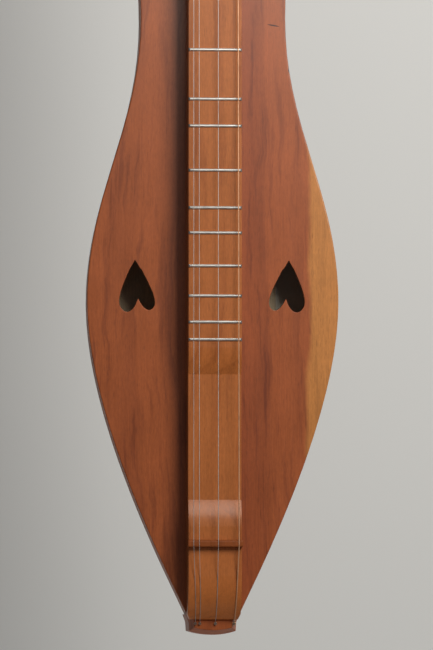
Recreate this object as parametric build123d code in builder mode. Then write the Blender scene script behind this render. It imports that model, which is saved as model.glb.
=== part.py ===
"""Mountain (lap) dulcimer: hourglass body, raised fretboard, four strings, scroll peghead.

The instrument lies on its back. +Z points out of the soundboard, +Y runs from the tail to the
scroll, -X is the melody side and +X the bass side. The origin is under the middle of the
instrument, on the plane of the back. Millimetres throughout.
"""

import os
from math import acos, atan2, cos, hypot, sin

from build123d import *

os.makedirs("parts", exist_ok=True)

# ---------------------------------------------------------------- driving dimensions

# Length
scale_length = 711.2         # bridge to nut, a 28 in scale
bridge_setback = 57.1        # bridge to the end of the tail
nut_thickness = 6.0
head_length = 168.0          # end of the body to the end of the scroll

# Hourglass, as half-widths and as distances from the bridge
lower_bout_half = 80.8
lower_bout_at = 156.0
waist_half = 46.6
waist_at = 338.0
upper_bout_half = 63.5
upper_bout_at = 500.0
plate_end_half = 17.0        # where the plates meet the tail block
plate_end_at = -44.0
head_end_half = 22.0
tail_slope = 0.46            # of the edge where it leaves each end, across over along
head_slope = 0.30
tail_pull = 0.12             # how far each curve keeps its end's direction, as a share of it
lower_pull = 0.375
waist_pull = 0.385
upper_pull = 0.38
head_side_pull = 0.42
head_pull = 0.22
run_on = 12.0                # past each end, trimmed away

# Body
back_thickness = 3.0
soundboard_thickness = 3.0
side_depth = 32.0            # back to soundboard, inside
rib_thickness = 2.4
soundboard_overhang = 1.0    # beyond the ribs; the back is flush with them
soundboard_edge_round = 0.7
back_edge_round = 0.5
lining_width = 5.0
lining_height = 7.0
brace_width = 8.0
brace_height = 9.0
brace_places = (62.0, 290.0, 452.0)
seam_strip_width = 14.0
seam_strip_thickness = 2.0
tail_block_length = 26.0     # the part between the ribs
tail_block_half = 15.3       # at the rounded end
tail_block_rise = 3.0        # above the soundboard, behind the fretboard
tail_shoulder = 5.0          # from the plates' end to the block's parallel part
tail_shoulder_loss = 0.4
tail_corner_at = 2.4         # from the tail, where the rounded end begins
tail_shoulder_round = 4.2
tail_bevel_length = 3.0
tail_bevel_drop = 8.0
head_block_length = 34.0

# Fretboard
fretboard_width = 34.0
fretboard_height = 20.0
fretboard_end_at = -47.3
fretboard_end_height = 4.6
tail_slope_at = -19.6        # where the top starts to round off behind the bridge
hollow_start_at = 11.7       # strum hollow, from its tail end
hollow_run_out = 17.0        # length of the scoop at each end of the hollow
hollow_depth = 4.5
hollow_to_last_fret = 5.0
channel_width = 20.0         # cut along the underside to lighten it
channel_depth = 10.0
channel_margin = 28.0

# Frets: ratio of open string to stopped string, and how far each one was set off from it
fret_ratios = (9/8, 5/4, 4/3, 3/2, 5/3, 16/9, 2, 9/4, 5/2, 8/3, 3, 10/3, 32/9, 4, 9/2, 5, 16/3)
fret_set_off = {10: 0.6, 11: 1.85, 12: 1.6, 13: -1.1, 15: 0.6, 16: -0.3, 17: -2.6}
fret_width = 2.0
fret_height = 1.1
fret_end_bevel = 0.9
fret_end_height = 0.15
tang_thickness = 0.6
tang_depth = 1.6
tang_clearance = 0.02

# Nut, bridge and strings
string_height_at_nut = 2.2   # over the fretboard
string_height_at_bridge = 4.6
bridge_thickness = 4.4
bridge_forward = 0.8         # its middle, ahead of where the strings leave it
bridge_overhang = 0.4        # past each side of the fretboard
bridge_slot_depth = 3.0
seat_clearance = 0.05
string_clearance = 0.03
string_bend_radius = 3.0     # over the nut and the bridge
nut_break = 1.5              # the strings bend this far behind the nut's front
nut_back_drop = 1.6          # slope behind the strings' seat
nut_back_run = 3.4
bridge_bevel = 0.7

# name: radius, then place across the board at nut, bridge and tail
strings = {
    "melody_outer": (0.16, -14.0, -14.0, -11.5),
    "melody_inner": (0.16, -10.7, -10.4, -8.6),
    "middle": (0.19, 1.7, 1.7, 1.4),
    "bass": (0.34, 13.9, 14.9, 13.3),
}
hitch_pin_radius = 0.55
hitch_pin_head_radius = 0.8
hitch_pin_head_height = 0.4
hitch_pin_depth = 5.0
hitch_pin_height = 1.0
hitch_pin_gap = 2.6          # fretboard's end to the pins

# Peghead
head_width = 40.0
scroll_width = 30.0
head_drop = 3.0              # cheeks start this far below the fretboard's top
head_foot = 4.0              # underside of the peghead above the back's plane
head_taper_share = 0.75      # of the way to the scroll, where its sides are parallel again
cheek_dip = 3.2              # hollow of the upper edge, near the nut
cheek_dip_at = 0.22
neck_dip = 4.6               # and in front of the scroll
neck_dip_at = 0.62
belly_rise = 3.4             # underside, near the nut
belly_rise_at = 0.28
throat_rise = 1.5            # underside, in front of the scroll
throat_rise_at = 0.72
scroll_radius = 20.0
scroll_drop = 25.0           # centre of the scroll below the fretboard's top
scroll_chamfer = 1.2
scroll_groove = 2.2
scroll_groove_depth = 1.5
spiral_margin = 4.4          # outermost turn of the groove to the scroll's rim
spiral_step = 2.1            # nearer the centre at each half turn
spiral_half_turns = 5
pegbox_slot_width = 25.0
pegbox_slot_length = 108.0
pegbox_depth = 43.0          # fretboard's top to the floor at the nut end
pegbox_floor_rise = 11.0
pegbox_wall = 3.0            # at the nut end
pegbox_mouth_drop = 8.0      # that wall is this much lower than the cheeks
pegbox_end_run = 14.0        # slope at the scroll end of the floor
pegbox_end_rise = 13.0
tenon_width = 22.0
tenon_margin = 5.0           # over and under the tenon, inside the body
tenon_length = 16.0
glue_clearance = 0.1

# Pegs: name of the string, side of the handle, place past the nut, turn of the handle at rest
pegs = {
    "melody_outer": (-1, 36.0, 20.0),
    "bass": (1, 57.0, -38.0),
    "melody_inner": (-1, 78.0, 74.0),
    "middle": (1, 99.0, -8.0),
}
winding_places = {"melody_outer": -6.0, "bass": 7.0, "melody_inner": -3.0, "middle": 2.0}
peg_drop = 19.0              # pegs' axes below the fretboard's top
peg_radius = 4.2             # at the handle's cheek
peg_taper = 1 / 40           # loss of radius along the shaft
peg_clearance = 0.06
peg_tip_past_cheek = 1.5
peg_collar_gap = 1.2
peg_tip_bevel = 0.6
peg_collar_radius = 6.2
peg_collar_length = 5.0      # with the hollow that runs into the handle
peg_collar_width = 2.6
peg_collar_bevel = 0.8       # on the cheek's side
peg_collar_fall = 1.2        # on the handle's side
peg_neck_radius = 3.0
peg_core_radius = 2.2        # inside the root of the handle
peg_core_length = 5.0
peg_handle_length = 24.0
peg_handle_half = 11.0
peg_handle_thickness = 6.4
peg_handle_edge = 0.6        # leaves the rim of the lens a little thick
peg_handle_waist = 5.4       # half the handle's width near the collar
peg_handle_waist_at = 4.0
peg_handle_root = 1.5        # the handle starts this far inside the neck
peg_shoulder_share = 0.74    # of the handle's half-width, near its end
peg_shoulder_at = 3.5
winding_turns = 6
winding_clearance = 0.02
winding_swell = 0.1          # the wound string stands this far out of its own thickness
string_to_winding_gap = 0.35

# Sound holes
heart_half_width = 11.4
heart_half_length = 16.7
lower_heart_margin = 32.8    # bout's edge to the heart's centre
lower_heart_past_bout = 10.0
upper_heart_margin = 24.0
upper_heart_past_bout = 6.0
heart_set_off = -0.6         # both were cut a little towards the melody side

# Label inside the bass side
label_width = 24.0
label_length = 62.0
label_thickness = 0.25
label_at = 168.0             # past the bridge
label_gap = 5.2              # to the back lining

# ---------------------------------------------------------------- derived places

overall_length = bridge_setback + scale_length + nut_thickness + head_length
y_tail = -overall_length / 2
y_bridge = y_tail + bridge_setback
y_nut = y_bridge + scale_length
y_body_end = y_nut + nut_thickness
y_scroll_end = y_body_end + head_length
y_plate_end = y_bridge + plate_end_at
y_fretboard_end = y_bridge + fretboard_end_at
y_pins = y_fretboard_end - hitch_pin_gap

z_back = back_thickness
z_ribs = z_back + side_depth
z_soundboard = z_ribs + soundboard_thickness
z_fretboard = z_soundboard + fretboard_height
z_tail_block = z_soundboard + tail_block_rise
z_nut = z_fretboard + string_height_at_nut
z_bridge = z_fretboard + string_height_at_bridge
scroll_height = z_fretboard - scroll_drop
peg_height = z_fretboard - peg_drop
pegbox_floor = z_fretboard - pegbox_depth
tenon_height = side_depth - 2 * tenon_margin

rib_outside = soundboard_overhang
rib_inside = soundboard_overhang + rib_thickness
lining_inside = rib_inside + lining_width

fret_places = {
    number: y_bridge + scale_length / ratio + fret_set_off.get(number, 0.0)
    for number, ratio in enumerate(fret_ratios, start=1)
}
y_hollow_end = fret_places[len(fret_ratios)] - hollow_to_last_fret


# ---------------------------------------------------------------- outlines


def side_curves():
    """The bass-side edge of the plates, from tail to head: a tangent run-on, then four curves."""
    tail = (plate_end_half, y_plate_end)
    lower = (lower_bout_half, y_bridge + lower_bout_at)
    waist = (waist_half, y_bridge + waist_at)
    upper = (upper_bout_half, y_bridge + upper_bout_at)
    head = (head_end_half, y_body_end)
    lower_run = lower[1] - tail[1]
    waist_run = waist[1] - lower[1]
    upper_run = upper[1] - waist[1]
    head_run = head[1] - upper[1]
    tail_end = (tail[0] - run_on * tail_slope, tail[1] - run_on)
    head_end = (head[0] - run_on * head_slope, head[1] + run_on)
    return [
        Line(tail_end, tail),
        Bezier(tail, (tail[0] + tail_pull * lower_run * tail_slope, tail[1] + tail_pull * lower_run),
               (lower[0], lower[1] - lower_pull * lower_run), lower),
        Bezier(lower, (lower[0], lower[1] + waist_pull * waist_run),
               (waist[0], waist[1] - waist_pull * waist_run), waist),
        Bezier(waist, (waist[0], waist[1] + upper_pull * upper_run),
               (upper[0], upper[1] - upper_pull * upper_run), upper),
        Bezier(upper, (upper[0], upper[1] + head_side_pull * head_run),
               (head[0] + head_pull * head_run * head_slope, head[1] - head_pull * head_run), head),
        Line(head, head_end),
    ]


def hourglass(inset, y_low, y_high, side=0):
    """Plan of the body drawn inset from the soundboard's edge, cut to a stretch of its length.

    side keeps the melody half (-1), the bass half (1) or both (0).
    """
    reach = 2 * lower_bout_half
    x_low = 0 if side > 0 else -reach
    x_high = 0 if side < 0 else reach
    steps = 8
    edge = []
    for curve in plate_edge:
        for step in range(steps):
            point = curve @ (step / steps)
            along = curve % (step / steps)
            edge.append((point.X - inset * along.Y, point.Y + inset * along.X))
    with BuildSketch() as plan:
        with BuildLine():
            Spline(*edge)
            Line((0, edge[0][1]), edge[0])
            Line(edge[-1], (0, edge[-1][1]))
            mirror(about=Plane.YZ)
        make_face()
        with Locations((x_low, y_low)):
            Rectangle(x_high - x_low, y_high - y_low, align=Align.MIN, mode=Mode.INTERSECT)
    return plan.sketch


def heart(x, y, side):
    """Heart sound hole with its tip towards the scroll, leaning out; side is the bout it is on."""
    w = side * heart_half_width
    h = heart_half_length
    notch = (-0.04 * w, -0.48 * h)
    tip = (0.13 * w, h)
    with BuildSketch() as hole:
        with BuildLine():
            Spline(
                tip, (0.38 * w, 0.7 * h), (0.62 * w, 0.35 * h), (0.99 * w, -0.4 * h),
                (0.94 * w, -0.82 * h), (0.58 * w, -h), (0.22 * w, -0.86 * h), notch,
                tangents=[(0.42 * side, -1), (-0.35 * side, 1)],
            )
            Spline(
                notch, (-0.38 * w, -0.83 * h), (-0.68 * w, -0.93 * h), (-0.96 * w, -0.77 * h),
                (-0.97 * w, -0.48 * h), (-0.58 * w, 0.18 * h), (-0.22 * w, 0.66 * h), tip,
                tangents=[(-0.55 * side, -1), (0.6 * side, 1)],
            )
        make_face()
    return Location((x, y, 0)) * hole.sketch


plate_edge = side_curves()

heart_places = [
    (side * (bout - margin) + heart_set_off, y_bridge + bout_at + past, side)
    for side in (-1, 1)
    for bout, margin, bout_at, past in (
        (lower_bout_half, lower_heart_margin, lower_bout_at, lower_heart_past_bout),
        (upper_bout_half, upper_heart_margin, upper_bout_at, upper_heart_past_bout),
    )
]


def finish(part, name):
    """Give a piece its label and write it."""
    part.label = name
    export_step(part, f"parts/{name}.step")


def outer_edge(level):
    """Of a plate's edges at one height, the long curved one."""
    return level.filter_by(GeomType.LINE, reverse=True).sort_by(SortBy.LENGTH)[-1]


# ---------------------------------------------------------------- strings and what they rest on

# Behind the bridge the fretboard rounds off in one arc, tangent to its top
slope_run = tail_slope_at - fretboard_end_at
slope_drop = fretboard_height - fretboard_end_height
slope_radius = (slope_run**2 + slope_drop**2) / (2 * slope_drop)
slope_centre = (y_bridge + tail_slope_at, z_fretboard - slope_radius)


def tangent_angle(radius, y, z, turn):
    """Angle, seen from the slope's centre, at which a line from a point touches its circle."""
    dy = y - slope_centre[0]
    dz = z - slope_centre[1]
    return atan2(dz, dy) + turn * acos(min(1.0, radius / hypot(dy, dz)))


def loop_radius(name):
    """Centre line of the loop that a string makes round its hitch pin."""
    return hitch_pin_radius + strings[name][0] + string_clearance


def string_route(name):
    """Corners of a string's route from hitch pin to peg, with the radius of each bend."""
    radius, x_nut, x_bridge, x_tail = strings[name]
    bend = slope_radius + radius + string_clearance
    y_end = y_pins + loop_radius(name)
    z_end = z_tail_block + radius + string_clearance
    # It lies on the rounded end of the fretboard between two tangents
    angle_on = tangent_angle(bend, y_bridge, z_bridge, 1)
    angle_off = tangent_angle(bend, y_end, z_end, -1)
    corner_angle = (angle_on + angle_off) / 2
    corner_reach = bend / cos((angle_off - angle_on) / 2)
    y_corner = slope_centre[0] + corner_reach * cos(corner_angle)
    z_corner = slope_centre[1] + corner_reach * sin(corner_angle)
    share = (y_corner - y_end) / (y_bridge - y_end)
    z_peg = peg_height + winding_radius(name) + radius + string_to_winding_gap
    points = [
        (x_tail, y_end, z_end),
        (x_tail + (x_bridge - x_tail) * share, y_corner, z_corner),
        (x_bridge, y_bridge, z_bridge),
        (x_nut, y_nut + nut_break, z_nut),
        (winding_places[name], y_nut + pegs[name][1], z_peg),
    ]
    return points, [bend, string_bend_radius, string_bend_radius]


def shaft_radius(outward):
    """Radius of a peg at a distance out from the instrument's centre, on the handle's side."""
    return peg_radius - peg_taper * (head_width / 2 - outward)


def winding_radius(name):
    """Outer radius of the string wound on its peg."""
    side = pegs[name][0]
    return shaft_radius(side * winding_places[name]) + 2 * strings[name][0] + winding_swell


def string_tube(name, extra=0.0):
    """A string along its route; extra widens it, to cut the notches that it lies in."""
    points, radii = string_route(name)
    with BuildPart() as tube:
        with BuildLine() as route:
            FilletPolyline(*points, radius=radii)
        start = route.line @ 0
        with BuildSketch(Plane(origin=start, z_dir=route.line % 0)):
            Circle(strings[name][0] + extra)
        sweep()
    return tube.part


# ---------------------------------------------------------------- body

for side_name, side in (("melody", -1), ("bass", 1)):
    with BuildPart() as back:
        with BuildSketch():
            add(hourglass(rib_outside, y_plate_end, y_body_end, side))
        extrude(amount=back_thickness)
        fillet(outer_edge(back.edges().group_by(Axis.Z)[0]), radius=back_edge_round)
    finish(back.part, f"back_{side_name}_side")

    with BuildPart() as soundboard:
        with BuildSketch(Plane.XY.offset(z_ribs)):
            add(hourglass(0, y_plate_end, y_body_end, side))
        extrude(amount=soundboard_thickness)
        fillet(outer_edge(soundboard.edges().group_by(Axis.Z)[-1]),
               radius=soundboard_edge_round)
        with BuildSketch(Plane.XY.offset(z_ribs)):
            for x, y, heart_side in heart_places:
                if heart_side == side:
                    add(heart(x, y, side))
        extrude(amount=soundboard_thickness, mode=Mode.SUBTRACT)
    finish(soundboard.part, f"soundboard_{side_name}_side")

    with BuildPart() as rib:
        with BuildSketch(Plane.XY.offset(z_back)):
            add(hourglass(rib_outside, y_plate_end, y_body_end, side))
            add(hourglass(rib_inside, y_plate_end, y_body_end, side), mode=Mode.SUBTRACT)
        extrude(amount=side_depth)
    finish(rib.part, f"side_rib_{side_name}")

    y_lining_low = y_plate_end + tail_block_length + glue_clearance
    y_lining_high = y_body_end - head_block_length - glue_clearance
    for lining_name, z_lining in (("back", z_back), ("top", z_ribs - lining_height)):
        with BuildPart() as lining:
            with BuildSketch(Plane.XY.offset(z_lining)):
                add(hourglass(rib_inside, y_lining_low, y_lining_high, side))
                add(hourglass(lining_inside, y_lining_low, y_lining_high, side), mode=Mode.SUBTRACT)
            extrude(amount=lining_height)
        finish(lining.part, f"{lining_name}_lining_{side_name}")

for brace_name, place in zip(("lower", "waist", "upper"), brace_places):
    y_brace = y_bridge + place
    with BuildPart() as brace:
        with BuildSketch(Plane.XY.offset(z_back)):
            add(hourglass(lining_inside + glue_clearance, y_brace - brace_width / 2,
                          y_brace + brace_width / 2))
        extrude(amount=brace_height)
        chamfer(brace.edges().filter_by(Axis.X).group_by(Axis.Z)[-1], length=brace_width / 4)
        # Notch over the seam strip
        with Locations((0, y_brace, z_back)):
            Box(seam_strip_width + 2 * glue_clearance, brace_width,
                seam_strip_thickness + glue_clearance,
                align=(Align.CENTER, Align.CENTER, Align.MIN), mode=Mode.SUBTRACT)
    finish(brace.part, f"back_brace_{brace_name}")

with BuildPart() as back_seam_strip:
    strip_length = y_lining_high - y_lining_low
    with Locations((0, y_lining_low, z_back)):
        Box(seam_strip_width, strip_length, seam_strip_thickness,
            align=(Align.CENTER, Align.MIN, Align.MIN))
    chamfer(back_seam_strip.edges().filter_by(Axis.Y).group_by(Axis.Z)[-1],
            length=seam_strip_thickness / 3)
finish(back_seam_strip.part, "back_seam_strip")

with BuildPart() as paper_label:
    with Locations((lower_bout_half - lining_inside - label_gap, y_bridge + label_at, z_back)):
        Box(label_width, label_length, label_thickness,
            align=(Align.MAX, Align.CENTER, Align.MIN))
finish(paper_label.part, "paper_label")

# Tail block: between the ribs below, and a rounded end that shows behind the fretboard
with BuildPart() as tail_block:
    with BuildSketch(Plane.XY.offset(z_back)):
        add(hourglass(rib_inside, y_plate_end, y_plate_end + tail_block_length))
    extrude(amount=side_depth)
    with BuildSketch() as tail_end:
        with BuildLine():
            corner = (tail_block_half - tail_shoulder_loss, y_tail + tail_corner_at)
            Polyline((0, y_plate_end), (plate_end_half, y_plate_end),
                     (tail_block_half, y_plate_end - tail_shoulder), corner)
            TangentArc((0, y_tail), corner, tangent=(1, 0))
            mirror(about=Plane.YZ)
        make_face()
        fillet(tail_end.vertices().group_by(Axis.Y)[1], radius=tail_shoulder_round)
    extrude(amount=z_tail_block)
    # Step that carries the end of the fretboard
    with BuildSketch(Plane.XY.offset(z_soundboard)):
        with Locations((0, y_fretboard_end)):
            Rectangle(4 * plate_end_half, -y_fretboard_end + y_bridge,
                      align=(Align.CENTER, Align.MIN))
    extrude(amount=tail_block_rise + 1, mode=Mode.SUBTRACT)
    top_face = tail_block.faces().filter_by(Axis.Z).sort_by(Axis.Z)[-1]
    chamfer(top_face.edges().filter_by(GeomType.CIRCLE), length=tail_bevel_length,
            length2=tail_bevel_drop, reference=top_face)
    for radius, x_nut, x_bridge, x_tail in strings.values():
        with Locations((x_tail, y_pins, z_tail_block)):
            Hole(radius=hitch_pin_radius + tang_clearance, depth=hitch_pin_depth)
finish(tail_block.part, "tail_block")

with BuildPart() as hitch_pins:
    for radius, x_nut, x_bridge, x_tail in strings.values():
        with Locations((x_tail, y_pins, z_tail_block - hitch_pin_depth)):
            Cylinder(hitch_pin_radius, hitch_pin_depth + hitch_pin_height,
                     align=(Align.CENTER, Align.CENTER, Align.MIN))
        with Locations((x_tail, y_pins, z_tail_block + hitch_pin_height)):
            Cylinder(hitch_pin_head_radius, hitch_pin_head_height,
                     align=(Align.CENTER, Align.CENTER, Align.MIN))
finish(hitch_pins.part, "hitch_pins")

with BuildPart() as head_block:
    with BuildSketch(Plane.XY.offset(z_back)):
        add(hourglass(rib_inside, y_body_end - head_block_length, y_body_end))
    extrude(amount=side_depth)
    with Locations((0, y_body_end, z_back + side_depth / 2)):
        Box(tenon_width + 2 * glue_clearance, 2 * (tenon_length + glue_clearance),
            tenon_height + 2 * glue_clearance, mode=Mode.SUBTRACT)
finish(head_block.part, "head_block")

# ---------------------------------------------------------------- fretboard, frets, nut, bridge

with BuildPart() as fretboard:
    with BuildSketch(Plane.XY.offset(z_soundboard)):
        with Locations((0, y_fretboard_end)):
            Rectangle(fretboard_width, y_nut - y_fretboard_end, align=(Align.CENTER, Align.MIN))
        # The tail end is trimmed to the body's outline
        add(hourglass(0, y_fretboard_end, y_nut), mode=Mode.INTERSECT)
    extrude(amount=fretboard_height)
    with BuildSketch(Plane.YZ):
        with BuildLine():
            y_slope = y_bridge + tail_slope_at
            y_scoop = y_bridge + hollow_start_at
            z_hollow = z_fretboard - hollow_depth
            z_end = z_soundboard + fretboard_end_height
            Line((y_fretboard_end, z_soundboard), (y_fretboard_end, z_end))
            TangentArc((y_slope, z_fretboard), (y_fretboard_end, z_end), tangent=(-1, 0))
            Line((y_slope, z_fretboard), (y_scoop, z_fretboard))
            TangentArc((y_scoop, z_fretboard), (y_scoop + hollow_run_out, z_hollow),
                       tangent=(1, 0))
            Line((y_scoop + hollow_run_out, z_hollow), (y_hollow_end - hollow_run_out, z_hollow))
            TangentArc((y_hollow_end, z_fretboard), (y_hollow_end - hollow_run_out, z_hollow),
                       tangent=(-1, 0))
            Line((y_hollow_end, z_fretboard), (y_nut, z_fretboard))
            Line((y_nut, z_fretboard), (y_nut, z_soundboard))
            Line((y_nut, z_soundboard), (y_fretboard_end, z_soundboard))
        make_face()
    extrude(amount=fretboard_width, both=True, mode=Mode.INTERSECT)
    # Channel underneath, from the last fret to near the nut
    with BuildSketch(Plane.XY.offset(z_soundboard)):
        with Locations((0, y_hollow_end)):
            Rectangle(channel_width, y_nut - channel_margin - y_hollow_end,
                      align=(Align.CENTER, Align.MIN))
    extrude(amount=channel_depth, mode=Mode.SUBTRACT)
    for y_fret in fret_places.values():
        with Locations((0, y_fret, z_fretboard)):
            Box(fretboard_width + 2, tang_thickness + 2 * tang_clearance,
                2 * (tang_depth + tang_clearance), mode=Mode.SUBTRACT)
    with Locations((0, y_bridge + bridge_forward, z_fretboard)):
        Box(fretboard_width + 2, bridge_thickness + 2 * seat_clearance,
            2 * bridge_slot_depth, mode=Mode.SUBTRACT)
finish(fretboard.part, "fretboard")

for number, y_fret in fret_places.items():
    crown_half = fret_width / 2
    with BuildPart() as fret:
        with BuildSketch(Plane.YZ):
            with BuildLine():
                ThreePointArc((y_fret - crown_half, z_fretboard),
                              (y_fret, z_fretboard + fret_height),
                              (y_fret + crown_half, z_fretboard))
                Line((y_fret + crown_half, z_fretboard), (y_fret - crown_half, z_fretboard))
            make_face()
            with Locations((y_fret, z_fretboard)):
                Rectangle(tang_thickness, 2 * tang_depth)
        extrude(amount=fretboard_width / 2, both=True)
        # Filed ends: sloped from the board's edge up to the crown
        with BuildSketch(Plane.XZ.offset(-y_fret)):
            half = fretboard_width / 2
            Polygon((-half, z_fretboard - tang_depth), (half, z_fretboard - tang_depth),
                    (half, z_fretboard + fret_end_height),
                    (half - fret_end_bevel, z_fretboard + fret_height),
                    (fret_end_bevel - half, z_fretboard + fret_height),
                    (-half, z_fretboard + fret_end_height), align=None)
        extrude(amount=fret_width, both=True, mode=Mode.INTERSECT)
    finish(fret.part, f"fret_{number:02d}")

with BuildPart() as nut:
    with Locations((0, y_nut, z_soundboard)):
        Box(fretboard_width, nut_thickness, z_nut - z_soundboard,
            align=(Align.CENTER, Align.MIN, Align.MIN))
    chamfer(nut.edges().filter_by(Axis.X).group_by(Axis.Z)[-1].sort_by(Axis.Y)[-1],
            length=nut_back_drop, length2=nut_back_run)
    for name in strings:
        add(string_tube(name, string_clearance), mode=Mode.SUBTRACT)
finish(nut.part, "nut")

with BuildPart() as bridge:
    with Locations((0, y_bridge + bridge_forward, z_fretboard - bridge_slot_depth)):
        Box(fretboard_width + 2 * bridge_overhang, bridge_thickness,
            bridge_slot_depth + string_height_at_bridge,
            align=(Align.CENTER, Align.CENTER, Align.MIN))
    chamfer(bridge.edges().filter_by(Axis.X).group_by(Axis.Z)[-1], length=bridge_bevel)
    for name in strings:
        add(string_tube(name, string_clearance), mode=Mode.SUBTRACT)
finish(bridge.part, "bridge")

for name, (radius, x_nut, x_bridge, x_tail) in strings.items():
    with BuildPart() as string:
        add(string_tube(name))
        with Locations((x_tail, y_pins, z_tail_block + radius + string_clearance)):
            Torus(loop_radius(name), radius)
    finish(string.part, f"string_{name}")

# ---------------------------------------------------------------- peghead, pegs and windings

y_scroll = y_scroll_end - scroll_radius
scroll_top = scroll_height + scroll_radius
scroll_bottom = scroll_height - scroll_radius
z_cheeks = z_fretboard - head_drop
peghead_reach = y_scroll - y_body_end

with BuildPart() as peghead:
    with BuildSketch(Plane.YZ):
        with BuildLine():
            Spline(
                (y_body_end, z_cheeks),
                (y_body_end + cheek_dip_at * peghead_reach, z_cheeks - cheek_dip),
                (y_body_end + neck_dip_at * peghead_reach, scroll_top - neck_dip),
                (y_scroll, scroll_top),
                tangents=[(1, -0.02), (1, 0)],
            )
            Line((y_scroll, scroll_top), (y_scroll, scroll_bottom))
            Spline(
                (y_scroll, scroll_bottom),
                (y_body_end + throat_rise_at * peghead_reach, scroll_bottom + throat_rise),
                (y_body_end + belly_rise_at * peghead_reach, head_foot + belly_rise),
                (y_body_end, head_foot),
                tangents=[(-1, 0.35), (-1, -0.05)],
            )
            Line((y_body_end, head_foot), (y_body_end, z_cheeks))
        make_face()
    extrude(amount=head_width / 2, both=True)
    with BuildSketch():
        with BuildLine():
            y_taper_end = y_body_end + head_taper_share * peghead_reach
            Polyline((0, y_body_end), (head_width / 2, y_body_end),
                     (scroll_width / 2, y_taper_end), (scroll_width / 2, y_scroll_end),
                     (0, y_scroll_end))
            mirror(about=Plane.YZ)
        make_face()
    extrude(amount=z_fretboard, mode=Mode.INTERSECT)
    # Scroll, turned with a small chamfer
    with BuildSketch(Plane((0, y_scroll, scroll_height))):
        half = scroll_width / 2
        Polygon((-half, 0), (half, 0), (half, scroll_radius - scroll_chamfer),
                (half - scroll_chamfer, scroll_radius), (scroll_chamfer - half, scroll_radius),
                (-half, scroll_radius - scroll_chamfer), align=None)
    revolve(axis=Axis((0, y_scroll, scroll_height), (1, 0, 0)))
    # Slot between the cheeks
    with BuildSketch(Plane.YZ):
        with BuildLine():
            y_slot = y_body_end + pegbox_wall
            z_top = 2 * z_fretboard
            z_floor_end = pegbox_floor + pegbox_floor_rise
            Polyline((y_slot, z_top), (y_slot, pegbox_floor),
                     (y_slot + pegbox_slot_length - pegbox_end_run, z_floor_end),
                     (y_slot + pegbox_slot_length, z_floor_end + pegbox_end_rise),
                     (y_slot + pegbox_slot_length, z_top), (y_slot, z_top))
        make_face()
    extrude(amount=pegbox_slot_width / 2, both=True, mode=Mode.SUBTRACT)
    # The front wall of the slot is cut down so the strings can drop behind the nut
    with Locations((0, y_body_end, z_cheeks - pegbox_mouth_drop)):
        Box(pegbox_slot_width, 3 * pegbox_wall, z_fretboard,
            align=(Align.CENTER, Align.CENTER, Align.MIN), mode=Mode.SUBTRACT)
    # Spiral cut in both faces of the scroll
    for face_side in (-1, 1):
        with BuildSketch(Plane.YZ.offset(face_side * scroll_width / 2)):
            with BuildLine() as spiral:
                for step in range(spiral_half_turns):
                    up = 1 if step % 2 == 0 else -1
                    reach = scroll_radius - spiral_margin - spiral_step * step
                    z_from = scroll_height + up * reach
                    z_to = scroll_height - up * (reach - spiral_step)
                    swing = reach - spiral_step / 2
                    ThreePointArc((y_scroll, z_from), (y_scroll + up * swing, (z_from + z_to) / 2),
                                  (y_scroll, z_to))
            trace(line_width=scroll_groove)
        extrude(amount=scroll_groove_depth, both=True, mode=Mode.SUBTRACT)
    # Tenon into the head block
    with Locations((0, y_body_end, z_back + side_depth / 2)):
        Box(tenon_width, tenon_length, tenon_height,
            align=(Align.CENTER, Align.MAX, Align.CENTER))
    for side, past_nut, turn in pegs.values():
        bore_start = head_width / 2 + 1
        bore_end = -bore_start
        with BuildSketch(Plane(origin=(0, y_nut + past_nut, peg_height), x_dir=(side, 0, 0),
                               z_dir=(0, -side, 0))):
            Polygon((bore_end, 0), (bore_start, 0),
                    (bore_start, shaft_radius(bore_start) + peg_clearance),
                    (bore_end, shaft_radius(bore_end) + peg_clearance), align=None)
        revolve(axis=Axis((0, y_nut + past_nut, peg_height), (1, 0, 0)), mode=Mode.SUBTRACT)
finish(peghead.part, "peghead")


def cheek_half(y):
    """Half the width of the peghead at a place along it."""
    share = min(max((y - y_body_end) / (head_taper_share * peghead_reach), 0.0), 1.0)
    return head_width / 2 + (scroll_width - head_width) / 2 * share


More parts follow.
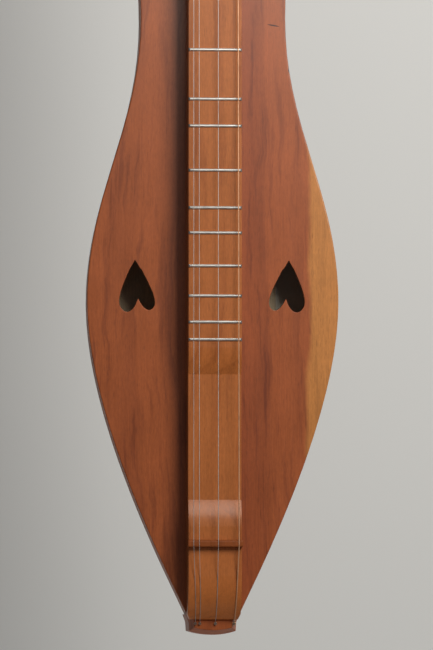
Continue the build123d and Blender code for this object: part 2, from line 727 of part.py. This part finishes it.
for name, (side, past_nut, turn) in pegs.items():
    y_peg = y_nut + past_nut
    axis = Axis((0, y_peg, peg_height), (1, 0, 0))
    plane = Plane(origin=(0, y_peg, peg_height), x_dir=(side, 0, 0), z_dir=(0, -side, 0))
    cheek = cheek_half(y_peg)
    tip = -cheek - peg_tip_past_cheek
    collar = cheek + peg_collar_gap
    handle = collar + peg_collar_length
    with BuildPart() as peg:
        with BuildSketch(plane):
            with BuildLine():
                collar_start = (collar, peg_collar_radius - peg_collar_bevel)
                collar_end = (collar + peg_collar_width, peg_collar_radius - peg_collar_fall)
                core_end = handle + peg_core_length
                Polyline((tip, 0), (tip, shaft_radius(tip) - peg_tip_bevel),
                         (tip + peg_tip_bevel, shaft_radius(tip)),
                         (collar, shaft_radius(collar)), collar_start)
                ThreePointArc(collar_start, (collar + peg_collar_width / 2, peg_collar_radius),
                              collar_end)
                Spline(collar_end, (handle, peg_neck_radius), (core_end, peg_core_radius))
                Polyline((core_end, peg_core_radius), (core_end, 0), (tip, 0))
            make_face()
        revolve(axis=axis)
        # Flat thumb piece, waisted where it joins the collar and lens-shaped across
        turned = plane.rotated((turn, 0, 0))
        with BuildSketch(turned, mode=Mode.PRIVATE) as outline:
            with BuildLine():
                end = handle + peg_handle_length
                root = handle - peg_handle_root
                Line((root, 0), (root, peg_neck_radius))
                Spline((root, peg_neck_radius), (handle + peg_handle_waist_at, peg_handle_waist),
                       (handle + peg_handle_length / 2, peg_handle_half),
                       (end - peg_shoulder_at, peg_shoulder_share * peg_handle_half), (end, 0),
                       tangents=[(1, 0.1), (0, -1)])
                mirror(about=Plane.XZ)
            make_face()
        with BuildSketch(Plane(turned.origin, x_dir=turned.y_dir, z_dir=turned.x_dir),
                         mode=Mode.PRIVATE) as lens:
            Ellipse(peg_handle_half + peg_handle_edge, peg_handle_thickness / 2)
        blade = extrude(outline.sketch, amount=peg_handle_thickness, both=True,
                        mode=Mode.PRIVATE)
        add(blade & extrude(lens.sketch, amount=end + 1, mode=Mode.PRIVATE))
    finish(peg.part, f"tuning_peg_{name}")

    radius = strings[name][0]
    inner = shaft_radius(side * winding_places[name] + winding_turns * radius) + winding_clearance
    with BuildPart() as winding:
        with BuildSketch(plane):
            start = side * winding_places[name] - (winding_turns - 1) * radius
            with Locations((side * winding_places[name], inner)):
                Rectangle(2 * winding_turns * radius, radius, align=(Align.CENTER, Align.MIN))
            with Locations(*[(start + 2 * radius * turn_number, inner + radius)
                             for turn_number in range(winding_turns)]):
                Circle(radius)
        revolve(axis=axis)
    finish(winding.part, f"winding_{name}")
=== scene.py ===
"""Looks of the mountain dulcimer: wood, lacquer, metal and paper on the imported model, with its
stage, its light and its camera. Metres, in the frame of the model."""

import math

import bpy
from mathutils import Matrix, Vector


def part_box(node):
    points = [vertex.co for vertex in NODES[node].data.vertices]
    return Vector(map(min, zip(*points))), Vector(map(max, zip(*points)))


bl_info = {
    "name": "Mountain dulcimer finish",
    "version": (1, 0, 0),
    "blender": (4, 5, 0),
    "location": "View3D > Sidebar > Dulcimer",
    "description": "Finishes, strings, light and camera for the packed mountain dulcimer",
    "category": "Object",
}

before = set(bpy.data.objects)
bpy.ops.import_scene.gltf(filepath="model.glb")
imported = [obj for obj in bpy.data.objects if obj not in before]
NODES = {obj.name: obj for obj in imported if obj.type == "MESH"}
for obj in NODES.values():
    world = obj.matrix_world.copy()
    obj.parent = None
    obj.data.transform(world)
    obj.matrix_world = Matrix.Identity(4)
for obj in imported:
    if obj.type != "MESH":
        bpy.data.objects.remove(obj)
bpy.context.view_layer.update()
FRETS = sorted(name for name in NODES if name.startswith("fret_"))
PEG_STRINGS = ("melody_outer", "melody_inner", "middle", "bass")

# Reference places read from the frame
BRIDGE_LOW, BRIDGE_HIGH = (Vector(corner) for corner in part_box("bridge"))
BRIDGE_Y = (BRIDGE_LOW.y + BRIDGE_HIGH.y) / 2
FRETBOARD_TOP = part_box("fretboard")[1][2]
SOUNDBOARD_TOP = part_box("soundboard_bass_side")[1][2]
BACK_INNER_FACE = 0.0026        # the back was left unfinished over this height

# Scars of the bass side, as (x, y, half width, half length)
KNIFE_MARK = (0.0389, BRIDGE_Y + 0.3332, 0.0044, 0.00055)
NICK = (0.0490, BRIDGE_Y + 0.3045, 0.0007, 0.0020)

# The large soft light. Its edges, as seen from the soundboard, set how soft its shadows are
SOFTBOX_HEIGHT = 1.1            # over the soundboard
SOFTBOX_NEAR_ANGLE = math.radians(14)       # from straight above, towards the bass side
SOFTBOX_FAR_ANGLE = math.radians(43)
SOFTBOX_NEAR_Y = 0.45           # past the bridge
SOFTBOX_FAR_Y = 1.6
# The card that gives the sheen
CARD_SIZE = (0.66, 0.80)
CARD_X = 0.23
CARD_NEAR_Y = 0.50              # past the bridge
# The light thrown back from the tail's side
BOUNCE_SIZE = (1.4, 0.5)
BOUNCE_PLACE = (-0.1, BRIDGE_Y - 1.3, 0.36)
BOUNCE_TILT = math.radians(78)
# Where the camera looks, on top of the fretboard
AIM = (0.0008, BRIDGE_Y + 0.1392, FRETBOARD_TOP)

# Colours that are not offered as settings
RAW_CHERRY_LIGHT, RAW_CHERRY_DARK = (0.74, 0.58, 0.36), (0.54, 0.40, 0.22)
POPLAR_LIGHT, POPLAR_DARK = (0.46, 0.33, 0.19), (0.30, 0.20, 0.10)
ROSEWOOD_LIGHT, ROSEWOOD_DARK = (0.085, 0.032, 0.018), (0.020, 0.008, 0.006)
PAPER, PAPER_STAIN, PAPER_PULP = (0.93, 0.87, 0.70), (0.74, 0.62, 0.42), (0.5, 0.42, 0.28)
BROWNED_STEEL = (0.17, 0.12, 0.09)
BRONZE_TARNISH = (0.42, 0.22, 0.13)
SKY_COLOUR = (0.86, 0.88, 0.90, 1.0)


# ------------------------------------------------------------------ sizes and colours


class DulcimerWoodSettings(bpy.types.PropertyGroup):
    """Colours and grain of the wooden pieces."""

    soundboard_light: bpy.props.FloatVectorProperty(
        name="Soundboard light", description="Pale tone between the streaks of the soundboard",
        subtype="COLOR", size=3, min=0, max=1, default=(0.360, 0.086, 0.020))
    soundboard_dark: bpy.props.FloatVectorProperty(
        name="Soundboard dark", description="Streaks and ring lines of the soundboard",
        subtype="COLOR", size=3, min=0, max=1, default=(0.180, 0.036, 0.009))
    sapwood: bpy.props.FloatVectorProperty(
        name="Sapwood", description="Golden band along the bass edge of the soundboard",
        subtype="COLOR", size=3, min=0, max=1, default=(0.540, 0.205, 0.046))
    fretboard_light: bpy.props.FloatVectorProperty(
        name="Fretboard light", description="Pale tone of the fretboard",
        subtype="COLOR", size=3, min=0, max=1, default=(0.450, 0.135, 0.032))
    fretboard_dark: bpy.props.FloatVectorProperty(
        name="Fretboard dark", description="Darker figure of the fretboard",
        subtype="COLOR", size=3, min=0, max=1, default=(0.280, 0.070, 0.015))
    ring_gap: bpy.props.FloatProperty(
        name="Ring gap", description="Distance between growth rings",
        subtype="DISTANCE", unit="LENGTH", min=0.001, max=0.02, default=0.0052)
    sapwood_edge: bpy.props.FloatProperty(
        name="Sapwood edge", description="Where the sapwood begins, from the centre line",
        subtype="DISTANCE", unit="LENGTH", min=0.02, max=0.1, default=0.0615)


class DulcimerMetalSettings(bpy.types.PropertyGroup):
    """Colours of the frets, strings and pins."""

    fret_metal: bpy.props.FloatVectorProperty(
        name="Fret wire", description="Nickel silver of the frets",
        subtype="COLOR", size=3, min=0, max=1, default=(0.78, 0.77, 0.73))
    plain_steel: bpy.props.FloatVectorProperty(
        name="Plain strings", description="Steel of the plain strings",
        subtype="COLOR", size=3, min=0, max=1, default=(0.62, 0.60, 0.58))
    bronze_wrap: bpy.props.FloatVectorProperty(
        name="Bass wrap", description="Bronze wrap of the bass string",
        subtype="COLOR", size=3, min=0, max=1, default=(0.80, 0.46, 0.27))


class DulcimerStageSettings(bpy.types.PropertyGroup):
    """Floor, light and camera."""

    floor_colour: bpy.props.FloatVectorProperty(
        name="Floor", description="Pale grey paper under the instrument",
        subtype="COLOR", size=3, min=0, max=1, default=(0.74, 0.74, 0.715))
    floor_size: bpy.props.FloatProperty(
        name="Floor size", description="Side of the floor", subtype="DISTANCE", unit="LENGTH",
        min=5, max=200, default=80.0)
    floor_drop: bpy.props.FloatProperty(
        name="Floor drop", description="Floor this far under the back of the instrument",
        subtype="DISTANCE", unit="LENGTH", min=0, max=1, default=0.45)
    key_power: bpy.props.FloatProperty(
        name="Key power", description="Power of the large soft light", subtype="POWER",
        min=0, max=2000, default=29.0)
    card_power: bpy.props.FloatProperty(
        name="Card power", description="Power of the card that gives the sheen", subtype="POWER",
        min=0, max=100, default=4.6)
    bounce_power: bpy.props.FloatProperty(
        name="Bounce power", description="Power of the soft light from the tail's side",
        subtype="POWER", min=0, max=500, default=5.0)
    sky_strength: bpy.props.FloatProperty(
        name="Room strength", description="Light from the pale room", min=0, max=5, default=0.09)
    camera_distance: bpy.props.FloatProperty(
        name="Camera distance", description="Camera to the fretboard", subtype="DISTANCE",
        unit="LENGTH", min=1, max=20, default=3.5)
    field_height: bpy.props.FloatProperty(
        name="Field height", description="Height of the field at the fretboard",
        subtype="DISTANCE", unit="LENGTH", min=0.1, max=2, default=0.414)
    tilt_side: bpy.props.FloatProperty(
        name="Tilt to the melody side", description="Camera leans this far to the melody side",
        subtype="ANGLE", unit="ROTATION", default=math.radians(4.2))
    tilt_tail: bpy.props.FloatProperty(
        name="Tilt to the tail", description="Camera leans this far to the tail",
        subtype="ANGLE", unit="ROTATION", default=math.radians(3.0))


# ------------------------------------------------------------------ material building


class Shading:
    """One material, built node by node around its principled shader."""

    def __init__(self, name):
        self.material = bpy.data.materials.new(name)
        self.material.use_nodes = True
        self.tree = self.material.node_tree
        self.surface = self.tree.nodes["Principled BSDF"]
        self.place = self.node("TexCoord").outputs["Object"]

    def node(self, kind, settings=None, **sockets):
        """Add a node; sockets are given by name, with _ for a space."""
        made = self.tree.nodes.new("ShaderNode" + kind)
        for key, value in (settings or {}).items():
            setattr(made, key, value)
        for key, value in sockets.items():
            self.feed(made.inputs[key.replace("_", " ")], value)
        return made

    def feed(self, socket, value):
        """Link an output to a socket, or set the socket's own value."""
        if isinstance(value, bpy.types.NodeSocket):
            self.tree.links.new(value, socket)
        else:
            socket.default_value = value

    def math(self, operation, first, second=0.0, third=0.0, clamp=False):
        made = self.node("Math", {"operation": operation, "use_clamp": clamp})
        for socket, value in zip(made.inputs, (first, second, third)):
            self.feed(socket, value)
        return made.outputs[0]

    def mix(self, share, first, second, blend="MIX"):
        """Mix two colours."""
        made = self.node("Mix", {"data_type": "RGBA", "blend_type": blend})
        for index, value in ((0, share), (6, first), (7, second)):
            if isinstance(value, tuple) and len(value) == 3:
                value = (*value, 1.0)
            self.feed(made.inputs[index], value)
        return made.outputs[2]

    def step(self, value, low, high):
        """0 below low, 1 above high, smooth between."""
        made = self.node("MapRange", {"interpolation_type": "SMOOTHSTEP"}, Value=value,
                         From_Min=low, From_Max=high)
        return made.outputs[0]

    def stretch(self, scale, shift=(0, 0, 0), place=None):
        """Coordinates stretched along each axis, to run a texture along the grain."""
        made = self.node("Mapping", Vector=place or self.place, Scale=scale, Location=shift)
        return made.outputs[0]

    def noise(self, scale, shift=(0, 0, 0), detail=2.0, roughness=0.5, place=None):
        made = self.node("TexNoise", Vector=self.stretch(scale, shift, place), Scale=1.0,
                         Detail=detail, Roughness=roughness)
        return made.outputs["Fac"]

    def split(self, vector):
        made = self.node("SeparateXYZ", Vector=vector)
        return made.outputs

    def bump(self, height, distance, strength=1.0, normal=None):
        made = self.node("Bump", Height=height, Distance=distance, Strength=strength)
        if normal is not None:
            self.feed(made.inputs["Normal"], normal)
        self.feed(self.surface.inputs["Normal"], made.outputs[0])

    def soften(self, radius, samples=4):
        """A normal that rounds sharp corners by a small radius."""
        return self.node("Bevel", {"samples": samples}, Radius=radius).outputs[0]

    def set(self, **sockets):
        for key, value in sockets.items():
            if isinstance(value, tuple) and len(value) == 3:
                value = (*value, 1.0)
            self.feed(self.surface.inputs[key.replace("_", " ")], value)


def wood(name, light, dark, seed, ring_gap, ring_under=0.09, ring_aside=0.0, streaks=0.5,
         pores=0.35, rough=0.38, coat=0.9, band=None, marks=(), edge_wear_and_highlight=0.25, bare_above=None):
    """Lacquered cherry with its grain along Y.

    ring_under and ring_aside place the heart of the tree under and beside the board; band adds
    a sapwood edge as (colour, distance from the centre line); marks are small dark scars;
    bare_above is a height over which the wood was left unfinished; the last argument says how much
    lighter the edges are painted, as wear and as a painted highlight.
    """
    s = Shading(name)
    shift = (seed * 1.7, seed * 0.9, seed * 2.3)
    # The rings wander along the board
    wander = s.math("SUBTRACT", s.noise((9.0, 2.2, 9.0), shift, 2.0), 0.5)
    ripple = s.math("SUBTRACT", s.noise((50.0, 26.0, 50.0), shift, 3.0), 0.5)
    x, y, z = s.split(s.place)
    x_warp = s.math("MULTIPLY_ADD", wander, 0.045, s.math("MULTIPLY_ADD", ripple, 0.009, x))
    across = s.math("SUBTRACT", x_warp, ring_aside)
    under = s.math("ADD", z, ring_under)
    radius = s.math("SQRT", s.math("ADD", s.math("MULTIPLY", across, across),
                                   s.math("MULTIPLY", under, under)))
    ring = s.math("FRACT", s.math("DIVIDE", radius, ring_gap))
    late = s.math("MULTIPLY", s.step(ring, 0.50, 0.90), s.math("SUBTRACT", 1.0,
                                                              s.step(ring, 0.92, 1.0)))
    # Long streaks, fine fibre, open pores and a soft cross figure
    bent = s.node("CombineXYZ", X=x_warp, Y=y, Z=z).outputs[0]
    streak = s.step(s.noise((230.0, 13.0, 230.0), shift, 3.0, 0.6, bent), 0.50, 0.70)
    mottle = s.noise((900.0, 300.0, 900.0), shift, 2.0, 0.6)
    fibre = s.noise((1500.0, 28.0, 1500.0), shift, 2.0, 0.6)
    pore = s.step(s.noise((2600.0, 130.0, 2600.0), shift, 1.0), 0.64, 0.74)
    figure = s.noise((48.0, 30.0, 48.0), shift, 2.0)
    drift = s.noise((13.0, 2.0, 13.0), (shift[1], shift[2], shift[0]), 2.0)

    tone = s.math("MULTIPLY", late, s.step(s.noise((26.0, 7.0, 26.0), shift), 0.30, 0.65))
    tone = s.math("MULTIPLY", tone, 0.50)
    tone = s.math("ADD", tone, s.math("MULTIPLY", streak, streaks))
    tone = s.math("ADD", tone, s.math("MULTIPLY", s.math("SUBTRACT", drift, 0.5), 0.9), clamp=True)
    colour = s.mix(tone, light, dark)
    value = s.math("MULTIPLY_ADD", s.math("SUBTRACT", fibre, 0.5), 0.34, 1.0)
    value = s.math("MULTIPLY_ADD", s.math("SUBTRACT", figure, 0.5), 0.26, value)
    value = s.math("MULTIPLY_ADD", s.math("SUBTRACT", mottle, 0.5), 0.42, value)
    if band:
        # Sapwood: past a wavering line the colour turns golden
        waver = s.math("SUBTRACT", s.noise((40.0, 14.0, 40.0), shift, 4.0), 0.5)
        edge = s.math("MULTIPLY_ADD", waver, 0.013, x)
        share = s.step(edge, band[1] - 0.0022, band[1] + 0.0022)
        golden = s.mix(s.math("MULTIPLY", tone, 0.6), band[0],
                       tuple(0.62 * part for part in band[0]))
        colour = s.mix(share, colour, golden)
    scaled = s.node("CombineXYZ", X=value, Y=value, Z=value).outputs[0]
    colour = s.mix(1.0, colour, scaled, "MULTIPLY")
    colour = s.mix(s.math("MULTIPLY", pore, pores), colour, tuple(0.35 * part for part in dark))
    for mark_x, mark_y, half_x, half_y in marks:
        dx = s.math("DIVIDE", s.math("SUBTRACT", x, mark_x), half_x)
        slant = s.math("MULTIPLY_ADD", s.math("SUBTRACT", x, mark_x), -0.17, mark_y)
        dy = s.math("DIVIDE", s.math("SUBTRACT", y, slant), half_y)
        away = s.math("ADD", s.math("MULTIPLY", dx, dx), s.math("MULTIPLY", dy, dy))
        colour = s.mix(s.math("SUBTRACT", 1.0, s.step(away, 0.4, 1.0)), colour,
                       tuple(0.22 * part for part in dark))
    # Edges are painted lighter in patches: partly rubbed wear, partly a painted highlight along
    # rounded edges
    soft = s.soften(0.0009)
    facing = s.node("VectorMath", {"operation": "DOT_PRODUCT"})
    s.feed(facing.inputs[0], soft)
    s.feed(facing.inputs[1], s.node("NewGeometry").outputs["Normal"])
    edge_share = s.math("SUBTRACT", 1.0, s.step(facing.outputs["Value"], 0.80, 0.99))
    worn_and_lit_edge = s.math("MULTIPLY", edge_share, s.step(s.noise((90.0, 40.0, 90.0), shift), 0.35, 0.65))
    colour = s.mix(s.math("MULTIPLY", worn_and_lit_edge, edge_wear_and_highlight), colour,
                   tuple(min(1.0, 1.7 * part) for part in light))
    if bare_above is not None:
        inside = s.step(z, bare_above - 0.0002, bare_above + 0.0002)
        raw = s.mix(tone, RAW_CHERRY_LIGHT, RAW_CHERRY_DARK)
        colour = s.mix(inside, colour, s.mix(1.0, raw, scaled, "MULTIPLY"))
        coat = s.math("MULTIPLY", s.math("SUBTRACT", 1.0, inside), coat)
    s.set(Base_Color=colour,
          Roughness=s.math("MULTIPLY_ADD", s.math("SUBTRACT", fibre, 0.5), 0.22,
                           s.math("MULTIPLY_ADD", figure, 0.10, rough - 0.05)),
          Specular_IOR_Level=0.25, Coat_Weight=coat, Coat_Roughness=0.24, Coat_IOR=1.48,
          IOR=1.45)
    height = s.math("MULTIPLY_ADD", pore, -0.6, s.math("MULTIPLY", fibre, 0.5))
    height = s.math("MULTIPLY_ADD", late, 0.15, height)
    s.bump(height, 0.00006, 0.55, soft)
    return s.material


def metal(name, colour, rough, grain=(400.0, 400.0, 400.0), tarnish=None, bump=0.00001,
          spread=0.22, metallic=1.0):
    """Metal with fine scratches along one axis and a little tarnish.

    spread is how far the scratches raise the roughness; a metallic below 1 lightens thin wire.
    """
    s = Shading(name)
    scratch = s.noise(grain, (3.0, 5.0, 7.0), 3.0, 0.6)
    cloud = s.noise((160.0, 160.0, 160.0), (1.0, 2.0, 3.0), 2.0)
    dull = tarnish or tuple(0.55 * part for part in colour)
    share = s.math("MULTIPLY", s.step(cloud, 0.45, 0.75), 0.55)
    s.set(Base_Color=s.mix(share, colour, dull), Metallic=metallic,
          Roughness=s.math("MULTIPLY_ADD", scratch, spread, rough))
    s.bump(scratch, bump, 0.6)
    return s.material


def dress(material, *names):
    """Give CAD nodes a material."""
    for name in names:
        for slot in NODES[name].material_slots:
            slot.material = material


def wood_settings():
    return bpy.context.scene.dulcimer_wood


def metal_settings():
    return bpy.context.scene.dulcimer_metal


def stage_settings():
    return bpy.context.scene.dulcimer_stage


def area_light(name, size, power, colour, place, tilt=0.0):
    """A rectangular light that faces straight down, or is tilted towards the head."""
    data = bpy.data.lights.new(name, "AREA")
    data.shape = "RECTANGLE"
    data.size, data.size_y = size
    data.energy = power
    data.color = colour
    light = bpy.data.objects.new(name, data)
    bpy.context.scene.collection.objects.link(light)
    light.location = place
    light.rotation_euler = (tilt, 0, 0)
    return light


# ------------------------------------------------------------------ operators


class DULCIMER_OT_finish_soundboard(bpy.types.Operator):
    """Cherry on both halves of the soundboard, with sapwood along the bass edge"""

    bl_idname = "dulcimer.finish_soundboard"
    bl_label = "Finish the soundboard"

    def execute(self, context):
        w = wood_settings()
        light, dark = tuple(w.soundboard_light), tuple(w.soundboard_dark)
        dress(wood("soundboard_melody_cherry", light, dark, 3.1, w.ring_gap, 0.060, -0.052,
                   streaks=0.55), "soundboard_melody_side")
        dress(wood("soundboard_bass_cherry", light, dark, 8.4, w.ring_gap, 0.075, 0.020,
                   streaks=0.50, band=(tuple(w.sapwood), w.sapwood_edge),
                   marks=(KNIFE_MARK, NICK)), "soundboard_bass_side")
        return {"FINISHED"}


class DULCIMER_OT_finish_fretboard(bpy.types.Operator):
    """Paler cherry on the fretboard, and the same wood on the bridge and the nut"""

    bl_idname = "dulcimer.finish_fretboard"
    bl_label = "Finish the fretboard"

    def execute(self, context):
        w = wood_settings()
        light, dark = tuple(w.fretboard_light), tuple(w.fretboard_dark)
        dress(wood("fretboard_cherry", light, dark, 5.2, 0.0042, 0.16, 0.055, streaks=0.38,
                   pores=0.30, rough=0.36, coat=0.5), "fretboard")
        dress(wood("bridge_cherry", dark, tuple(0.7 * part for part in dark), 1.3, 0.0012, 0.02,
                   streaks=0.4, coat=0.15), "bridge", "nut")
        return {"FINISHED"}


class DULCIMER_OT_finish_body(bpy.types.Operator):
    """Cherry on the ribs, the back, the tail block and the peghead"""

    bl_idname = "dulcimer.finish_body"
    bl_label = "Finish the body and the peghead"

    def execute(self, context):
        w = wood_settings()
        light, dark = tuple(w.soundboard_light), tuple(w.soundboard_dark)
        dress(wood("rib_cherry", light, dark, 11.6, 0.0048, 0.30, 0.10, streaks=0.45, rough=0.5,
                   coat=0.12),
              "side_rib_melody", "side_rib_bass")
        dress(wood("back_melody_cherry", light, dark, 14.9, w.ring_gap, 0.055, -0.030,
                   bare_above=BACK_INNER_FACE), "back_melody_side")
        dress(wood("back_bass_cherry", light, dark, 17.2, w.ring_gap, 0.050, 0.034,
                   bare_above=BACK_INNER_FACE), "back_bass_side")
        dress(wood("tail_cherry", light, dark, 21.5, 0.0030, 0.02, 0.01, rough=0.46, coat=0.2),
              "tail_block")
        dress(wood("peghead_cherry", light, dark, 24.7, 0.0044, 0.08, 0.03), "peghead")
        return {"FINISHED"}


class DULCIMER_OT_finish_inside(bpy.types.Operator):
    """Bare wood on linings, braces, strip and head block, and blank paper on the label"""

    bl_idname = "dulcimer.finish_inside"
    bl_label = "Finish the inside"

    def execute(self, context):
        names = [name for name in NODES if "lining" in name or "brace" in name]
        bare = wood("bare_poplar", POPLAR_LIGHT, POPLAR_DARK, 31.3, 0.0035, 0.05,
                    coat=0.0, rough=0.62)
        dress(bare, *names, "back_seam_strip", "head_block")
        s = Shading("label_paper")
        pulp = s.noise((900.0, 900.0, 900.0), detail=4.0)
        stain = s.step(s.noise((60.0, 60.0, 60.0), (4.0, 1.0, 2.0), 3.0), 0.45, 0.7)
        paper = s.mix(s.math("MULTIPLY", stain, 0.35), PAPER, PAPER_STAIN)
        s.set(Base_Color=s.mix(s.math("MULTIPLY", pulp, 0.25), paper, PAPER_PULP),
              Roughness=0.85)
        s.bump(pulp, 0.00005, 0.5)
        dress(s.material, "paper_label")
        return {"FINISHED"}


class DULCIMER_OT_finish_metal(bpy.types.Operator):
    """Nickel silver frets and browned steel hitch pins"""

    bl_idname = "dulcimer.finish_metal"
    bl_label = "Finish the metal"

    def execute(self, context):
        m = metal_settings()
        dress(metal("nickel_silver", tuple(m.fret_metal), 0.27, (60.0, 900.0, 900.0),
                    bump=0.000001, spread=0.06), *FRETS)
        dress(metal("browned_steel", BROWNED_STEEL, 0.42), "hitch_pins")
        return {"FINISHED"}


class DULCIMER_OT_finish_strings(bpy.types.Operator):
    """Plain steel on three strings, bronze wrap on the bass, and their windings"""

    bl_idname = "dulcimer.finish_strings"
    bl_label = "Finish the strings"

    def execute(self, context):
        m = metal_settings()
        steel = metal("plain_steel", tuple(m.plain_steel), 0.32, (900.0, 60.0, 900.0),
                      metallic=0.7)
        bronze = metal("bronze_wrap", tuple(m.bronze_wrap), 0.30, (60.0, 5200.0, 60.0),
                       BRONZE_TARNISH, 0.00004, metallic=0.6)
        for name in PEG_STRINGS:
            dress(bronze if name == "bass" else steel, f"string_{name}", f"winding_{name}")
        return {"FINISHED"}


class DULCIMER_OT_finish_pegs(bpy.types.Operator):
    """Dark polished hardwood on the tuning pegs"""

    bl_idname = "dulcimer.finish_pegs"
    bl_label = "Finish the tuning pegs"

    def execute(self, context):
        for index, name in enumerate(PEG_STRINGS):
            # Peg edges get less of the lighter edge paint, which is partly wear and partly painted
            # highlight
            dress(wood(f"peg_rosewood_{name}", ROSEWOOD_LIGHT, ROSEWOOD_DARK,
                       41.0 + index, 0.0016, 0.03, streaks=0.6, rough=0.24, coat=0.5,
                       edge_wear_and_highlight=0.12), f"tuning_peg_{name}")
        return {"FINISHED"}


class DULCIMER_OT_set_stage(bpy.types.Operator):
    """Pale paper floor, a large soft light from the upper bass side, and the camera"""

    bl_idname = "dulcimer.set_stage"
    bl_label = "Set the stage"

    def execute(self, context):
        t = stage_settings()
        scene = context.scene
        scene.view_settings.view_transform = "Standard"
        half = t.floor_size / 2
        floor_mesh = bpy.data.meshes.new("paper_floor")
        floor_mesh.from_pydata([(-half, -half, -t.floor_drop), (half, -half, -t.floor_drop),
                                (half, half, -t.floor_drop), (-half, half, -t.floor_drop)],
                               [], [(0, 1, 2, 3)])
        floor = bpy.data.objects.new("paper_floor", floor_mesh)
        scene.collection.objects.link(floor)
        s = Shading("pale_paper")
        tooth = s.noise((700.0, 700.0, 700.0), detail=3.0)
        cloud = s.noise((1.6, 1.6, 1.6), detail=2.0)
        colour = tuple(t.floor_colour)
        s.set(Base_Color=s.mix(s.math("MULTIPLY", cloud, 0.12), colour,
                               tuple(0.9 * part for part in colour)), Roughness=0.9)
        s.bump(tooth, 0.0001, 0.25)
        floor_mesh.materials.append(s.material)

        world = bpy.data.worlds.new("pale_room")
        world.use_nodes = True
        sky = world.node_tree.nodes["Background"]
        sky.inputs["Color"].default_value = SKY_COLOUR
        sky.inputs["Strength"].default_value = t.sky_strength
        scene.world = world

        near_x = SOFTBOX_HEIGHT * math.tan(SOFTBOX_NEAR_ANGLE)
        far_x = SOFTBOX_HEIGHT * math.tan(SOFTBOX_FAR_ANGLE)
        area_light("softbox", (far_x - near_x, SOFTBOX_FAR_Y - SOFTBOX_NEAR_Y), t.key_power,
                   (1.0, 0.985, 0.96),
                   ((near_x + far_x) / 2, BRIDGE_Y + (SOFTBOX_NEAR_Y + SOFTBOX_FAR_Y) / 2,
                    SOFTBOX_HEIGHT + SOUNDBOARD_TOP))
        # The card is seen only as the sheen of lacquer and metal
        card = area_light("gloss_card", CARD_SIZE, t.card_power, (1.0, 0.95, 0.87),
                          (CARD_X, BRIDGE_Y + CARD_NEAR_Y + CARD_SIZE[1] / 2, SOFTBOX_HEIGHT))
        card.visible_diffuse = False
        # Light thrown back from the pale room at the tail leaves no sheen
        bounce = area_light("tail_bounce", BOUNCE_SIZE, t.bounce_power, (1.0, 0.98, 0.95),
                            BOUNCE_PLACE, BOUNCE_TILT)
        bounce.visible_glossy = False

        toward = Vector((-math.tan(t.tilt_side), -math.tan(t.tilt_tail), 1.0)).normalized()
        upward = (Vector((0, 1, 0)) - toward * toward.y).normalized()
        camera_data = bpy.data.cameras.new("camera")
        camera_data.lens = camera_data.sensor_width * t.camera_distance / t.field_height
        camera_data.clip_end = 200.0
        camera = bpy.data.objects.new("camera", camera_data)
        scene.collection.objects.link(camera)
        turn = Matrix((upward.cross(toward), upward, toward)).transposed()
        camera.matrix_world = (Matrix.Translation(Vector(AIM) + toward * t.camera_distance)
                               @ turn.to_4x4())
        scene.camera = camera
        return {"FINISHED"}


STEPS = (
    DULCIMER_OT_set_stage,
    DULCIMER_OT_finish_soundboard,
    DULCIMER_OT_finish_fretboard,
    DULCIMER_OT_finish_body,
    DULCIMER_OT_finish_inside,
    DULCIMER_OT_finish_metal,
    DULCIMER_OT_finish_strings,
    DULCIMER_OT_finish_pegs,
)


class DULCIMER_PT_panel(bpy.types.Panel):
    """Lists the steps that finish the dulcimer"""

    bl_idname = "DULCIMER_PT_panel"
    bl_label = "Mountain dulcimer"
    bl_space_type = "VIEW_3D"
    bl_region_type = "UI"
    bl_category = "Dulcimer"

    def draw(self, context):
        for step in STEPS:
            self.layout.operator(step.bl_idname)


SETTINGS = {
    "dulcimer_wood": DulcimerWoodSettings,
    "dulcimer_metal": DulcimerMetalSettings,
    "dulcimer_stage": DulcimerStageSettings,
}


def register():
    for settings in SETTINGS.values():
        bpy.utils.register_class(settings)
    for name, settings in SETTINGS.items():
        setattr(bpy.types.Scene, name, bpy.props.PointerProperty(type=settings))
    for step in STEPS:
        bpy.utils.register_class(step)
    bpy.utils.register_class(DULCIMER_PT_panel)


def unregister():
    bpy.utils.unregister_class(DULCIMER_PT_panel)
    for step in reversed(STEPS):
        bpy.utils.unregister_class(step)
    for name in SETTINGS:
        delattr(bpy.types.Scene, name)
    for settings in SETTINGS.values():
        bpy.utils.unregister_class(settings)


def main():
    register()
    for step in STEPS:
        group, action = step.bl_idname.split(".")
        getattr(getattr(bpy.ops, group), action)()


if __name__ == "__main__":
    main()
